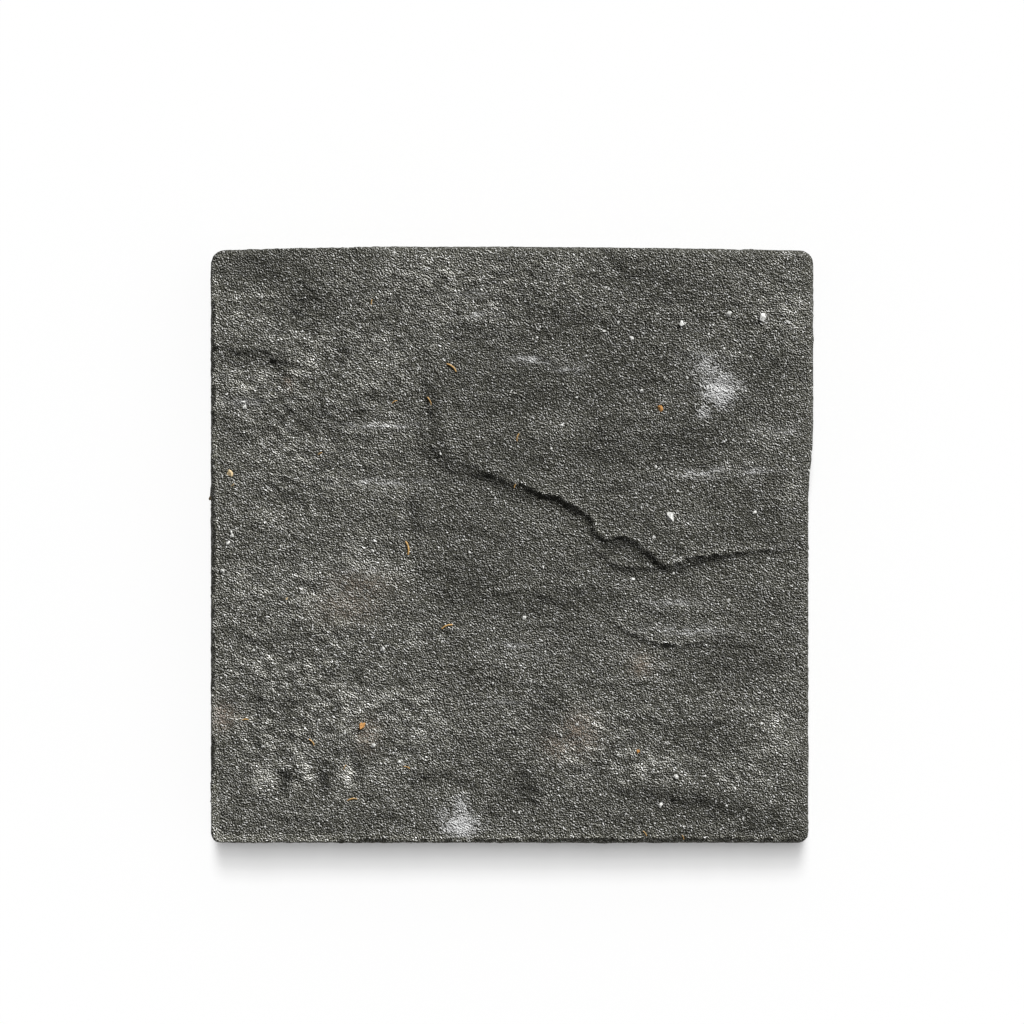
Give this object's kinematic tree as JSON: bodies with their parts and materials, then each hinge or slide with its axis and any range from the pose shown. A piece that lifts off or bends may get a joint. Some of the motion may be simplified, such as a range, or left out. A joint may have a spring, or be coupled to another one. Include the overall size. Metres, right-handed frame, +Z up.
{
  "type": "stepping stone",
  "caption": "Square cast concrete stepping stone with a riven slate face crossed by a raised cleft ledge, laid flat as a garden path paver.",
  "frame": {"origin": "middle of the flat base, where the stone rests on the ground", "axes": "+Z up, out of the riven face; +X to the right side of the face, along its longest extent; +Y to the back side of the face"},
  "size_m": [0.3, 0.297, 0.0397],
  "materials": {
    "concrete": "matt charcoal grey cast concrete with a sandy grain, paler scuffs and streaks, small white aggregate chips and faint tan stains"
  },
  "bodies": {
    "root": {"stepping_stone": "concrete"}
  },
  "joints": []
}
